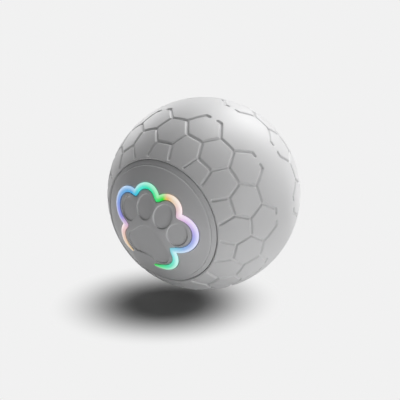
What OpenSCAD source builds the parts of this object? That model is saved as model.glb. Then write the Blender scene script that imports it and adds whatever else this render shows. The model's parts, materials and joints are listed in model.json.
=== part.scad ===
// Self-rolling pet ball: a grooved soft sleeve on a hard shell that a hanging motor core turns.
// The origin is the ball's centre, the axle runs along Y, the photographed cap is at -Y, and Z is up.

/* [Ball] */
// Outside diameter over the sleeve
ball_d = 76; // [74:1:84]
// Wall of the soft sleeve
sleeve_t = 1.6; // [1.3:0.1:2]
// Wall of the hard shell halves
shell_t = 2; // [1.8:0.1:2.4]
// Length of the lap where the shell halves meet
lap_l = 2; // [1.5:0.1:3]
// Thickness of the shell's end walls
end_wall_t = 2.2; // [2:0.1:2.6]

/* [Honeycomb] */
// Hexagons round each band
hex_count = 10; // [9:1:10]
// Side of a hexagon
hex_side = 7; // [6.4:0.1:7.2]
// Angle of a band's middle row above the equator
hex_band_angle = 28; // [27:0.5:29]
// Turn of the pattern about the axle
hex_phase = -4.4; // [-18:0.1:18]
// Width of a groove at the surface
groove_w = 1.1; // [0.8:0.05:1.4]
// Width of a groove's floor
groove_floor_w = 0.7; // [0.3:0.05:0.8]
// Depth of a groove
groove_depth = 0.6; // [0.3:0.05:0.8]
// Length of the open stubs beside the cap
stub_l = 6.2; // [3:0.1:6.6]
// Length of the short hooks beside the equator
hook_l = 1.7; // [1.2:0.1:3]

/* [Caps] */
// Diameter of the parting line round a cap
parting_d = 49.4; // [48:0.2:50]
// Open gap between the sleeve and the bezel
parting_gap = 0.2; // [0.1:0.05:0.6]
// Width of the bezel's visible face
bezel_w = 1.4; // [1.2:0.1:1.6]
// How far the bezel lies under the ball's surface
bezel_drop = 0.4; // [0.2:0.05:0.6]
// Depth of the bezel under the parting plane
bezel_depth = 3.4; // [3.2:0.1:3.8]
// Height of the cap's dome above the parting plane
dome_rise = 8.4; // [7.6:0.1:8.8]
// Wall of a cap
cap_t = 1.8; // [1.5:0.1:2.2]
// Gap between the cap's rim and the bezel
cap_gap = 0.15; // [0.1:0.05:0.4]
// Travel of the front cap when it is pressed
press_travel = 0.5; // [0.3:0.1:0.6]
// Height of the threaded collar under the rear cap
collar_h = 3; // [2.5:0.1:3.2]

/* [Paw] */
// Turn of the paw on its cap
paw_turn = -12.5; // [-30:0.5:30]
// Width of the light strip
strip_w = 2.2; // [1.8:0.1:2.4]
// Height of the light strip above the dome
strip_h = 0.6; // [0.3:0.1:1.1]
// Radius of the slot's edge where the strip turns in between two lobes
notch_r = 0.1; // [0.05:0.05:0.4]
// Depth of the toes and the pad under the dome
pad_depth = 0.4; // [0.2:0.05:0.6]
// Half width and half height of an inner toe
inner_toe = [3.7, 5];
// Half width and half height of an outer toe
outer_toe = [3.8, 4.7];
// Thickness of the light plate behind the cap
light_plate_t = 1.2; // [1:0.1:1.6]

/* [Drive] */
// Teeth of the shell's ring gear
ring_teeth = 66; // [60:1:70]
// Teeth of the motor pinion
pinion_teeth = 11; // [10:1:12]
// Face width of the ring gear
ring_t = 4; // [3.5:0.1:4.5]
// Width of the ring gear's rim outside the pitch circle of its teeth
ring_rim = 4.2; // [4:0.1:4.6]
// Play between the teeth
backlash = 0.14; // [0.1:0.01:0.2]
// Radius of the core's hollow necks
neck_r = 10.5; // [10.2:0.1:10.8]
// Wall of the bushes
bush_t = 1.5; // [1.2:0.1:1.6]
// Gear motor: width, height and length of the gearbox
motor_size = [12, 10, 9];
// Room between the motor's can and the front plate
motor_tail = 11; // [9:0.5:13]
// Diameter of the motor's shaft
motor_shaft_d = 3; // [2.5:0.1:3]

/* [Core] */
// Room between the core and the shell
core_gap = 2; // [1.5:0.1:3]
// Thickness of the chassis walls and plates
chassis_t = 1.8; // [1.6:0.1:2.2]
// Width of the battery cell, which fills the length between the plates
battery_w = 25; // [22:0.5:27]
// Thickness of the battery cell
battery_t = 8; // [6:0.2:9]
// Width of the main board
board_w = 29; // [27:0.5:31]
// Thickness of the main board
board_t = 1.2; // [1:0.1:1.6]
// Charging socket: width, height and depth
usb_size = [9, 3.2, 6.4];

/* [Hidden] */
$fn = 96;

// Clearances
seat_gap = 0.05;
run_gap = 0.05;
fit_gap = 0.1;
end_play = 0.2;
skin = 1;

// Shell and sleeve
ball_r = ball_d / 2;
sleeve_ri = ball_r - sleeve_t;
shell_ro = sleeve_ri - fit_gap;
shell_ri = shell_ro - shell_t;
lap_r = (shell_ro + shell_ri) / 2;
seal_h = 0.8;
edge_cut = 0.4;

// Cap, bezel and seat, measured from the centre towards the pole
parting_r = parting_d / 2;
parting_y = sqrt(ball_r * ball_r - parting_r * parting_r);
bezel_ro = parting_r - parting_gap / 2;
bezel_ri = bezel_ro - bezel_w;
seat_y = parting_y - bezel_depth;
wall_y = seat_y - end_wall_t;
cap_r = bezel_ri - cap_gap;
cap_ri = cap_r - cap_t;
flange_w = 0.8;
flange_r = cap_r + flange_w;
flange_t = 1;
press_rest = 0.3;
flange_y = seat_y + press_travel + press_rest;
lip_y = flange_y + flange_t + fit_gap;
bezel_skirt_r = flange_r + 2 * fit_gap;
dome_r = (parting_r * parting_r + dome_rise * dome_rise) / (2 * dome_rise);
dome_y = parting_y + dome_rise - dome_r;
rim_cut = 0.5;
rim_y = dome_y + sqrt(dome_r * dome_r - cap_r * cap_r);
collar_ro = cap_ri - fit_gap;
collar_t = 1.4;
light_plate_ro = dome_r - cap_t - seat_gap;
light_plate_r = collar_ro - collar_t - 4 * fit_gap;

// Bushes, necks and ring gear
bush_ri = neck_r + run_gap;
bush_ro = bush_ri + bush_t;
bush_flange_t = 1.2;
bush_flange_r = bush_ro + 1.5;
bush_reach = 0.3;
thrust_y = wall_y - bush_flange_t - end_play;
thrust_collar_r = neck_r + 0.8;
neck_reach = 1.1;
neck_y = seat_y + neck_reach;
ring_y = wall_y - ring_t;
ring_room = 1.2;
ring_ro = sqrt(shell_ri * shell_ri - wall_y * wall_y) - ring_room;
ring_pr = ring_ro - ring_rim;
gear_module = 2 * ring_pr / ring_teeth;
pinion_pr = gear_module * pinion_teeth / 2;
pinion_z = -(ring_pr - pinion_pr);
pressure_angle = 20;
ring_tip = 0.8 * gear_module;
ring_root = 1.25 * gear_module;
pinion_tip = 0.95 * gear_module;
pinion_root = 1.2 * gear_module;
pinion_play = 0.5;
pinion_l = ring_t - bush_flange_t - pinion_play;

// Small fasteners: shank radius, head radius and head height
m16 = [0.8, 1.5, 1];
m2 = [1, 1.9, 1.3];
low_head_h = 0.8;
thin_head_h = 0.6;
screw_rest = 0.5;
ring_screw_l = ring_t + end_wall_t - screw_rest;
ring_screw_r = (ring_pr + ring_root + ring_ro) / 2;

// Core
core_r = shell_ri - core_gap;
side_gap = 0.5;
wall_x = max(board_w, battery_w) / 2 + side_gap;
plate_t = 2.4;
screw_room = 0.4;
rear_plate_y = ring_y - low_head_h - screw_room - plate_t;
front_plate_y = -thrust_y + plate_t;
core_l = rear_plate_y - front_plate_y;
core_mid_y = (front_plate_y + rear_plate_y) / 2;
motor_gap = 0.3;
gearbox_y = rear_plate_y - motor_size[2];
can_y = front_plate_y + motor_tail;
shelf_z = pinion_z + motor_size.y / 2 + motor_gap;
pad_t = 0.8;
battery_z = shelf_z + chassis_t + pad_t;
battery_gap = 0.3;
tray_lip = 1.2;
tray_room = 1.6;
battery_l = core_l - 2 * (tray_room + tray_lip + battery_gap);
ledge_h = 1.8;
ledge_w = 4.4;
board_z = battery_z + battery_t + ledge_h + battery_gap;
board_room = 4.6;
board_l = core_l - 2 * board_room;
boss_r = 2.2;
boss_l = 8;
boss_sink = 0.6;
boss_x = wall_x - boss_r + boss_sink;
boss_high = board_z + board_t + m16[2] + boss_sink + boss_r;
wall_top = boss_high + boss_r + boss_sink;
boss_low = pinion_z + boss_sink;
front_plate_r = norm([boss_x, boss_low]) + boss_r + boss_sink;
weight_gap = 0.7;
weight_y0 = front_plate_y + boss_l + motor_gap;
weight_y1 = rear_plate_y - motor_gap;
weight_bite = 6;
weight_screw_l = chassis_t + weight_bite;
weight_bolt_y = 7;
wall_edge = norm([wall_x + chassis_t, weight_bolt_y]);
weight_bolt_z = m2[1] + boss_sink - sqrt(core_r * core_r - wall_edge * wall_edge);
wall_low = weight_bolt_z - m2[1] - boss_sink;
board_hole_inset = 2;
board_hole = [board_w / 2 - board_hole_inset, board_l / 2 - board_hole_inset];
socket_x = [-5, 4];
socket_size = [6, 4.5, 3.4];
socket_wall = 0.8;
socket_edge = 2.6;
socket_y = (board_l - socket_size.y) / 2 - socket_edge;
socket_y0 = socket_y - socket_size.y / 2;
chip_size = [7, 7, 1];
chip_at = [-2, (socket_y0 - board_l / 2) / 2];
sensor_size = [3, 3, 1];
sensor_gap = 2.4;
sensor_at = [6, socket_y0 - sensor_size.y / 2 - sensor_gap];

// Boards in the necks
neck_board_t = 1.2;
neck_wall = 1.6;
neck_ledge = 1;
neck_recess = 0.2;
neck_board_r = neck_r - neck_wall;
neck_bore_r = neck_board_r - neck_ledge;
front_board_y = neck_y - neck_board_t - neck_recess;
led = [2, 2, 0.8];
led_inset = 2.2;
led_ring_r = neck_board_r - led_inset;
led_room = 0.4;
front_led_count = 6;
rear_led_count = 4;
switch_size = [4, 4, 2];
switch_stem = [1, 1.7];
switch_stem_sink = 0.9;
switch_stem_y = front_board_y + neck_board_t + switch_size.z - switch_stem_sink;
cover_t = 1;
rear_board_y = neck_y - cover_t - led_room - led.z - neck_board_t;
usb_y = neck_y - neck_recess;

// Paw: lobe centres and radii of the strip's middle line, on the cap's face
inner_lobe = [4.7, 10.3, 5.25];
outer_lobe = [10.9, 3.3, 7.05];
heel_lobe = [6, -8.7, 6.4];
heel_centre = [0, 5];
turn_in_r = strip_w / 2 + seat_gap + notch_r;
strip_start = -6.6;
strip_end = 3.5;
strip_step = 12;
crown_steps = 6;
tip_share = 0.4;
tip_l = 5;
inner_toe_at = [4.1, 7.7];
outer_toe_at = [11.3, 2.9];
toe_lean = 5;
pad_corner = [5, -9, 4.7];
pad_top = [0, -5, 6];
pad_dent = [9, 1.2];
pad_step = 0.15;

sleeve_colour = "gainsboro";
shell_colour = "whitesmoke";
cap_colour = "lightgray";
light_colour = "paleturquoise";
seal_colour = "dimgray";
bush_colour = "ivory";
gear_colour = "white";
steel_colour = "silver";
chassis_colour = "slategray";
board_colour = "seagreen";

// Points and frames on a sphere

function unit(v) = v / norm(v);

// Unit vector at an angle above the equator, towards the front pole, and an angle round the axle
function on_ball(up, round) = [cos(up) * sin(round), -sin(up), cos(up) * cos(round)];

// Point that lies an angle along the great circle from a towards b
function along(a, b, angle) = a * cos(angle) + unit(b - a * (a * b)) * sin(angle);

// Frame with its x axis along x and its z axis along z, both unit vectors and square to each other
function frame_on(x, z) = let (y = cross(z, x))
  [[x.x, y.x, z.x, 0], [x.y, y.y, z.y, 0], [x.z, y.z, z.z, 0], [0, 0, 0, 1]];

// General building blocks

// Turned piece: the profile's x is the radius and its y runs from the centre to the front pole
module turned() {
  rotate([90, 0, 0]) rotate_extrude() children();
}

// The front pole points along z and the paw's up along y
module facing_front() {
  rotate([90, 0, 0]) children();
}

module facing_rear() {
  rotate([0, 0, 180]) facing_front() children();
}

// Plate between two planes square to the axle, drawn in X and Z
module slab(y0, y1) {
  translate([0, y1, 0]) rotate([90, 0, 0]) linear_extrude(y1 - y0) children();
}

// Rod along the axle's direction
module rod(r, y0, y1, at = [0, 0]) {
  translate([at.x, y1, at.y]) rotate([90, 0, 0]) cylinder(r = r, h = y1 - y0);
}

// Box given by its corner nearest the origin of each axis and its size
module block(low, size) {
  translate(low) cube(size);
}

// Region of the profile plane that lies within a height range
module band(r0, r1, y0, y1) {
  translate([r0, y0]) square([r1 - r0, y1 - y0]);
}

// Half disc on the axle's side of the profile plane
module half_disc(r, y = 0) {
  intersection() {
    translate([0, y]) circle(r);
    band(0, 2 * r, y - r, y + r);
  }
}

// Screw along z with its head above the plane z = 0
module screw(size, l) {
  head_recess = 0.6;
  translate([0, 0, -l]) cylinder(r = size[0], h = l);
  difference() {
    cylinder(r = size[1], h = size[2]);
    translate([0, 0, size[2] - head_recess]) cylinder(r = size[0], h = 2 * head_recess, $fn = 6);
  }
}

// Honeycomb of the sleeve

hex_angle = hex_side / ball_r * 180 / PI;
hex_row_step = hex_angle * sin(60);
hex_pitch = 360 / hex_count;

function row_up(row) = hex_band_angle - row * hex_row_step;

// Half of the angle between the two corners of a hexagon's flat, on its own circle of latitude
function half_flat(row) = hex_angle / 2 / cos(row_up(row));

// Corner of the net: flats of odd rows lie between those of even rows
function corner(row, column, side) = on_ball(
  row_up(row),
  hex_phase + hex_pitch * (column + (row % 2 == 0 ? 0.5 : 0)) + side * half_flat(row)
);

// Groove along the side from corner a towards corner b: to it, or for a given length
module groove(a, b, l = 0) {
  overrun = groove_w / 4;
  end = l > 0 ? along(a, b, l / ball_r * 180 / PI) : b;
  run = unit(end - a);
  up = unit(a + end);
  slope = (groove_w - groove_floor_w) / 2 / groove_depth;
  top = groove_w / 2 + slope * skin;
  translate(a * ball_r) multmatrix(frame_on(cross(up, run), run)) translate([0, 0, -overrun])
    linear_extrude(norm(end - a) * ball_r + (l > 0 ? overrun : 2 * overrun)) polygon([
      [-groove_floor_w / 2, -groove_depth],
      [groove_floor_w / 2, -groove_depth],
      [top, skin],
      [-top, skin]
    ]);
}

// One column of the net: whole hexagons in the middle, open stubs to the cap, hooks to the equator
module groove_column(column) {
  for (row = [-1, 0, 1]) groove(corner(row, column, -1), corner(row, column, 1));
  for (side = [-1, 1]) {
    inner_column = side < 0 ? column : column + 1;
    for (row = [-1, 1]) groove(corner(0, column, side), corner(row, inner_column, -side));
    groove(corner(-1, column, side), corner(-2, column - (side < 0 ? 1 : 0), -side), stub_l);
    groove(corner(1, column, side), corner(2, column - (side < 0 ? 1 : 0), -side));
    groove(corner(2, column, side), corner(2, column, -side), hook_l);
  }
}

module outer_sleeve() {
  color(sleeve_colour) difference() {
    turned() difference() {
      half_disc(ball_r);
      half_disc(sleeve_ri);
      for (side = [-1, 1]) scale([1, side]) sleeve_mouth();
    }
    for (side = [0, 1], column = [0 : hex_count - 1]) mirror([0, side, 0]) groove_column(column);
  }
}

// Round opening at a pole with its edge broken
module sleeve_mouth() {
  mouth_r = parting_r + parting_gap / 2;
  mouth_y = sqrt(ball_r * ball_r - mouth_r * mouth_r);
  band(0, mouth_r, 0, ball_r + skin);
  polygon([
    [0, mouth_y - edge_cut - mouth_r],
    [0, ball_r + skin],
    [mouth_r + edge_cut + skin, mouth_y + skin]
  ]);
}

// Hard shell halves

// Wall of one half from the equator to its end wall, with the seat of the bezel
module shell_profile() {
  difference() {
    union() {
      difference() {
        half_disc(shell_ro);
        half_disc(shell_ri);
      }
      intersection() {
        half_disc(lap_r);
        band(0, ball_r, wall_y, seat_y);
      }
    }
    band(0, ball_r, -ball_r, 0);
    band(0, bezel_ro + seat_gap, seat_y, ball_r);
    band(0, bush_ro + seat_gap, 0, ball_r);
  }
}

module front_shell() {
  color(shell_colour) turned() {
    shell_profile();
    intersection() {
      difference() {
        half_disc(lap_r - seat_gap);
        half_disc(shell_ri);
      }
      band(0, ball_r, -lap_l, skin);
    }
  }
}

module rear_shell() {
  color(shell_colour) difference() {
    mirror([0, 1, 0]) turned() {
      difference() {
        shell_profile();
        band(0, lap_r + seat_gap, -skin, lap_l + seal_h);
      }
      band(collar_ro - collar_t, collar_ro, seat_y - skin, seat_y + collar_h);
    }
    ring_screw_places() translate([0, 0, -ring_screw_l])
      cylinder(r = m16[0] + seat_gap, h = ring_screw_l);
  }
}

module equator_seal() {
  color(seal_colour) mirror([0, 1, 0]) turned()
    band(shell_ri + fit_gap, lap_r - fit_gap, lap_l, lap_l + seal_h);
}

// Bezels, caps and light guides

module bezel_profile(foot_y) {
  difference() {
    intersection() {
      half_disc(ball_r - bezel_drop);
      band(bezel_ri, bezel_ro, foot_y, ball_r);
    }
    band(0, bezel_skirt_r, 0, lip_y);
  }
}

module front_bezel() {
  color(cap_colour) turned() bezel_profile(seat_y);
}

module rear_bezel() {
  color(cap_colour) mirror([0, 1, 0]) turned() bezel_profile(seat_y + fit_gap);
}

module cap_profile() {
  difference() {
    union() {
      intersection() {
        half_disc(dome_r, dome_y);
        band(0, cap_r, flange_y, ball_r);
      }
      band(cap_ri, flange_r, flange_y, flange_y + flange_t);
    }
    intersection() {
      half_disc(dome_r - cap_t, dome_y);
      band(0, cap_ri, 0, ball_r);
    }
    polygon([
      [cap_r + skin, rim_y - rim_cut - skin],
      [cap_r + skin, ball_r],
      [cap_r - rim_cut - ball_r + rim_y, ball_r]
    ]);
  }
}

module oval(size, margin) {
  points = 48;
  polygon([for (i = [0 : points - 1]) [
    (size.x - margin) * cos(i * 360 / points),
    (size.y - margin) * sin(i * 360 / points)
  ]]);
}

// Outline of the four toes and the pad, drawn in by a margin
module paw_outline(margin) {
  for (side = [-1, 1]) {
    translate([side * inner_toe_at.x, inner_toe_at.y]) rotate(-side * toe_lean)
      oval(inner_toe, margin);
    translate([side * outer_toe_at.x, outer_toe_at.y]) rotate(-side * toe_lean)
      oval(outer_toe, margin);
  }
  difference() {
    hull() {
      translate([pad_top.x, pad_top.y]) circle(pad_top[2] - margin, $fn = 32);
      for (side = [-1, 1]) translate([side * pad_corner.x, pad_corner.y])
        circle(pad_corner[2] - margin, $fn = 32);
    }
    translate([0, pad_corner.y - pad_corner[2] - pad_dent[0] + pad_dent[1]])
      circle(pad_dent[0] + margin);
  }
}

// The toes and the pad are sunk along the dome in two steps, the lower one drawn in
module paw_recess() {
  translate([0, 0, dome_y]) for (step = [0, 1]) difference() {
    linear_extrude(dome_r + skin) paw_outline(step * pad_step);
    sphere(dome_r - pad_depth / (2 - step));
  }
}

// Light strip: a chain of arcs, each tangent to the next, drawn clockwise from the left of the heel

function flat(lobe) = [lobe.x, lobe.y];
function mirrored(lobe) = [-lobe.x, lobe.y, lobe[2]];

right_lobes = [inner_lobe, outer_lobe, heel_lobe];
lobes = concat([for (i = [2 : -1 : 0]) mirrored(right_lobes[i])], right_lobes);

// Arc that turns in between two lobes and touches both
function notch(a, b) = let (
    d = flat(b) - flat(a),
    u = unit(d),
    ra = a[2] + turn_in_r,
    rb = b[2] + turn_in_r,
    run = (ra * ra - rb * rb + d * d) / (2 * norm(d)),
    c = flat(a) + run * u + sqrt(ra * ra - run * run) * [-u.y, u.x]
  ) [c.x, c.y, turn_in_r];

// Wide arc under the heel that holds both heel lobes
heel_arc = [heel_centre.x, heel_centre.y, norm(flat(heel_lobe) - heel_centre) + heel_lobe[2]];

function heel_point(x) = [x, heel_centre.y - sqrt(heel_arc[2] * heel_arc[2] - x * x)];

arcs = concat(
  [heel_arc],
  [for (i = [0 : 2 * len(lobes) - 2])
    i % 2 == 0 ? lobes[i / 2] : notch(lobes[(i - 1) / 2], lobes[(i + 1) / 2])],
  [heel_arc]
);

// Point where an arc touches the next one
function touch(a, b) = let (big = a[2] > b[2] ? a : b, other = a[2] > b[2] ? b : a)
  flat(big) + unit(flat(other) - flat(big)) * big[2];

strip_joints = concat(
  [heel_point(strip_start)],
  [for (i = [0 : len(arcs) - 2]) touch(arcs[i], arcs[i + 1])],
  [heel_point(strip_end)]
);

// Points along one arc, each with the direction that leads out of the paw; the notches turn the other way
function arc_run(i) = let (
    turns_in = i > 0 && i < len(arcs) - 1 && i % 2 == 0,
    way = turns_in ? 1 : -1,
    c = flat(arcs[i]),
    from = strip_joints[i] - c,
    to = strip_joints[i + 1] - c,
    start = atan2(from.y, from.x),
    turn = (way * (atan2(to.y, to.x) - start) + 720) % 360,
    steps = ceil(turn / (turns_in ? 2 * strip_step : strip_step))
  ) [for (k = [0 : steps - (i < len(arcs) - 1 ? 1 : 0)])
    let (angle = start + way * turn * k / steps, n = [cos(angle), sin(angle)])
      [c + arcs[i][2] * n, -way * n]];

strip_run = [for (i = [0 : len(arcs) - 1]) each arc_run(i)];
strip_tips = [strip_run[0][0], strip_run[len(strip_run) - 1][0]];

// The strip narrows to its two tips
function strip_share(p) = let (run = min(norm(p - strip_tips[0]), norm(p - strip_tips[1])))
  min(1, tip_share + (1 - tip_share) * run / tip_l);

function sphere_z(r, q) = dome_y + sqrt(r * r - q * q);

// Slot for the strip in the cap
module strip_slot() {
  function edge(side) = [for (s = strip_run)
    s[0] + side * s[1] * (strip_w / 2 * strip_share(s[0]) + seat_gap)];
  back = edge(-1);
  polygon(concat(edge(1), [for (i = [len(back) - 1 : -1 : 0]) back[i]]));
}

// Section of the strip: straight sides that stand on the light plate, and a round top along the dome
function strip_section(s) = let (
    share = strip_share(s[0]),
    w = strip_w / 2 * share,
    h = strip_h * share
  ) [
    for (side = [-1, 1]) let (q = s[0] + side * w * s[1]) [q.x, q.y, sphere_z(light_plate_ro + seat_gap, q)],
    for (k = [0 : crown_steps]) let (a = 180 * k / crown_steps, q = s[0] + w * cos(a) * s[1])
      [q.x, q.y, sphere_z(dome_r, q) + h * sin(a)]
  ];

// The sections joined into one closed solid
module strip() {
  sections = [for (s = strip_run) strip_section(s)];
  sides = len(sections[0]);
  last = len(sections) - 1;
  polyhedron(
    [for (s = sections) each s],
    [
      for (i = [0 : last - 1], k = [0 : sides - 1]) let (
        a = i * sides + k,
        b = i * sides + (k + 1) % sides
      ) each [[a, b, b + sides], [a, b + sides, a + sides]],
      [for (k = [sides - 1 : -1 : 0]) k],
      [for (k = [0 : sides - 1]) last * sides + k]
    ]
  );
}

module cap() {
  difference() {
    rotate_extrude() cap_profile();
    rotate(paw_turn) {
      paw_recess();
      translate([0, 0, flange_y]) linear_extrude(ball_r) strip_slot();
    }
  }
}

module light_plate() {
  rotate_extrude() intersection() {
    difference() {
      half_disc(light_plate_ro, dome_y);
      half_disc(light_plate_ro - light_plate_t, dome_y);
    }
    band(0, light_plate_r, 0, ball_r);
  }
}

module front_cap() {
  color(cap_colour) facing_front() cap();
}

module front_light_strip() {
  color(light_colour) facing_front() rotate(paw_turn) strip();
}

module front_light_plate() {
  boss_y = switch_stem_y + switch_stem[1] + fit_gap;
  color(light_colour) facing_front() {
    light_plate();
    translate([0, 0, boss_y])
      cylinder(r = 2 * switch_stem[0], h = dome_y + light_plate_ro - light_plate_t / 2 - boss_y);
  }
}

module rear_cap() {
  color(cap_colour) facing_rear() difference() {
    cap();
    rotate_extrude() door_seal_groove(seat_gap);
  }
}

module rear_light_strip() {
  color(light_colour) facing_rear() rotate(paw_turn) strip();
}

module rear_light_plate() {
  color(light_colour) facing_rear() light_plate();
}

door_seal_t = 1;
door_seal_r = (cap_ri + flange_r) / 2;

module door_seal_groove(margin) {
  band(
    door_seal_r - door_seal_t / 2 - margin,
    door_seal_r + door_seal_t / 2 + margin,
    seat_y + fit_gap,
    flange_y + door_seal_t / 2 + margin
  );
}

module door_seal() {
  color(seal_colour) facing_rear() rotate_extrude() door_seal_groove(0);
}

// Bearings and gears

module bush() {
  turned() {
    band(bush_ri, bush_ro, wall_y - bush_flange_t, seat_y + bush_reach);
    band(bush_ri, bush_flange_r, wall_y - bush_flange_t, wall_y);
  }
}

module front_bush() {
  color(bush_colour) bush();
}

module rear_bush() {
  color(bush_colour) mirror([0, 1, 0]) bush();
}

// Involute of a base circle: polar angle at a radius
function involute_angle(base_r, r) = let (t = sqrt(max(0, r * r / (base_r * base_r) - 1)))
  t * 180 / PI - atan(t);

// Outline of a gear with a tooth on the -y axis, from root to tip, thickened by extra at the pitch circle
module gear_outline(teeth, root_r, tip_r, extra) {
  pitch_r = gear_module * teeth / 2;
  base_r = pitch_r * cos(pressure_angle);
  steps = 3;
  half = 90 / teeth + extra / 2 / pitch_r * 180 / PI + involute_angle(base_r, pitch_r);
  radii = [for (i = [0 : steps]) root_r + (tip_r - root_r) * i / steps];
  flank = [for (r = radii) [r, half - involute_angle(base_r, r)]];
  polygon([for (tooth = [0 : teeth - 1]) each [
    for (p = flank) p[0] * [cos(tooth * 360 / teeth - 90 - p[1]), sin(tooth * 360 / teeth - 90 - p[1])],
    for (i = [steps : -1 : 0]) let (p = flank[i])
      p[0] * [cos(tooth * 360 / teeth - 90 + p[1]), sin(tooth * 360 / teeth - 90 + p[1])]
  ]]);
}

// Places of the ring gear's screws, with z along the axle towards the rear wall's outside
module ring_screw_places() {
  for (i = [0 : 3]) rotate([0, 45 + 90 * i, 0]) translate([ring_screw_r, ring_y, 0])
    rotate([90, 0, 0]) children();
}

module ring_gear() {
  color(gear_colour) difference() {
    slab(ring_y, wall_y) difference() {
      circle(ring_ro);
      gear_outline(ring_teeth, ring_pr - ring_tip, ring_pr + ring_root, backlash / 2);
    }
    ring_screw_places() translate([0, 0, -ring_t - skin])
      cylinder(r = m16[0] + seat_gap, h = ring_t + 2 * skin);
  }
}

module ring_gear_screws() {
  color(steel_colour) ring_screw_places() screw([m16[0], m16[1], low_head_h], ring_screw_l);
}

module motor_pinion() {
  color(gear_colour) translate([0, 0, pinion_z]) slab(ring_y, ring_y + pinion_l) difference() {
    gear_outline(pinion_teeth, pinion_pr - pinion_root, pinion_pr + pinion_tip, -backlash / 2);
    circle(motor_shaft_d / 2 + seat_gap);
  }
}

shaft_depth = 4;

module motor_shaft() {
  color(steel_colour)
    rod(motor_shaft_d / 2, rear_plate_y - shaft_depth + fit_gap, ring_y + pinion_l, [0, pinion_z]);
}

// The can with its two flats, the gearbox between two plates, and the bore that the shaft turns in
module gear_motor() {
  end_plate_t = 1;
  gearbox_inset = 0.8;
  tail_boss = [2, 1];
  terminal = [0.6, 2.4, 1.6];
  terminal_x = 4;
  color(steel_colour) difference() {
    translate([0, 0, pinion_z]) {
      slab(can_y, gearbox_y + end_plate_t / 2) intersection() {
        circle(motor_size.x / 2);
        square([motor_size.x, motor_size.y], center = true);
      }
      for (y = [gearbox_y, rear_plate_y - end_plate_t]) slab(y, y + end_plate_t)
        square([motor_size.x, motor_size.y], center = true);
      slab(gearbox_y, rear_plate_y)
        square([motor_size.x - 2 * gearbox_inset, motor_size.y - 2 * gearbox_inset], center = true);
      rod(tail_boss[0], can_y - tail_boss[1], can_y + tail_boss[1]);
      for (side = [-1, 1])
        block([side * terminal_x - terminal.x / 2, can_y - terminal.y / 2, -terminal.z / 2], terminal);
    }
    rod(motor_shaft_d / 2 + run_gap, rear_plate_y - shaft_depth, rear_plate_y + skin, [0, pinion_z]);
    motor_screw_places() translate([0, 0, -motor_screw_l - fit_gap])
      cylinder(r = m16[0] + seat_gap, h = 2 * motor_screw_l);
  }
}

motor_bite = 3;
motor_screw_l = plate_t + motor_bite;
motor_screw_x = 4.2;

module motor_screw_places() {
  for (side = [-1, 1]) translate([side * motor_screw_x, rear_plate_y + plate_t, pinion_z])
    rotate([-90, 0, 0]) children();
}

module motor_screws() {
  color(steel_colour) motor_screw_places() screw([m16[0], m16[1], thin_head_h], motor_screw_l);
}

// Chassis

module neck(bore_y, seat_r) {
  turned() {
    difference() {
      band(0, neck_r, thrust_y - skin, neck_y);
      band(0, neck_bore_r, 0, neck_y + skin);
      band(0, seat_r + seat_gap, bore_y, neck_y + skin);
    }
  }
}

module boss_places() {
  for (x = [-boss_x, boss_x], z = [boss_low, boss_high]) translate([x, front_plate_y, z]) children();
}

// Side walls, shelf and rear plate, trimmed to the room inside the shell
module chassis_walls() {
  run = core_l + skin;
  intersection() {
    sphere(core_r);
    union() {
      for (side = [0, 1]) mirror([side, 0, 0])
        block([wall_x, front_plate_y, wall_low], [chassis_t, run, wall_top - wall_low]);
      block([-wall_x - skin, front_plate_y, shelf_z], [2 * (wall_x + skin), run, chassis_t]);
      slab(rear_plate_y, rear_plate_y + plate_t) circle(ring_ro);
    }
  }
}

// Lips at both ends of the battery
module battery_tray() {
  lip_low = shelf_z + chassis_t / 2;
  for (end = [0, 1]) translate([0, core_mid_y, 0]) mirror([0, end, 0]) block(
    [-wall_x - skin / 2, battery_l / 2 + battery_gap, lip_low],
    [2 * wall_x + skin, tray_lip, battery_t / 2]
  );
}

module board_ledges() {
  board_hole_places() translate([-ledge_w / 2, -ledge_w / 2, -ledge_h])
    cube([wall_x - board_hole.x + ledge_w / 2 + skin / 2, ledge_w, ledge_h]);
}

module chassis_frame() {
  shaft_room = 0.6;
  color(chassis_colour) difference() {
    union() {
      chassis_walls();
      boss_places() rotate([-90, 0, 0]) cylinder(r = boss_r, h = boss_l);
      battery_tray();
      board_ledges();
      mirror([0, 1, 0]) neck_with_collar();
    }
    rod(neck_bore_r, rear_plate_y - skin, thrust_y + skin);
    rod(motor_shaft_d / 2 + shaft_room, rear_plate_y - skin, rear_plate_y + plate_t + skin, [0, pinion_z]);
    motor_screw_places() translate([0, 0, -plate_t - skin])
      cylinder(r = m16[0] + seat_gap, h = plate_t + 2 * skin);
    boss_places() translate([0, -skin, 0]) rotate([-90, 0, 0])
      cylinder(r = m2[0] + seat_gap, h = boss_l - screw_rest);
    weight_screw_places() translate([0, 0, -chassis_t - skin])
      cylinder(r = m2[0] + fit_gap, h = chassis_t + 2 * skin);
    board_hole_places() translate([0, 0, -ledge_h - skin])
      cylinder(r = m16[0] + seat_gap, h = ledge_h + 2 * skin);
  }
}

module neck_with_collar() {
  neck(rear_board_y, neck_board_r);
  turned() band(neck_bore_r, thrust_collar_r, rear_plate_y + plate_t - skin, thrust_y);
}

module front_plate() {
  color(chassis_colour) difference() {
    union() {
      slab(-thrust_y, front_plate_y) circle(front_plate_r);
      neck(front_board_y, neck_board_r);
    }
    rod(neck_bore_r, -thrust_y - skin, front_plate_y + skin);
    boss_places() translate([0, -plate_t - skin, 0]) rotate([-90, 0, 0]) {
      cylinder(r = m2[0] + fit_gap, h = plate_t + 2 * skin);
      cylinder(r = m2[1] + fit_gap, h = m2[2] + skin);
    }
  }
}

module front_plate_screws() {
  color(steel_colour) boss_places() translate([0, m2[2] - plate_t, 0]) rotate([90, 0, 0])
    screw(m2, boss_l - 2 * screw_rest);
}

// Battery and weight

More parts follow.
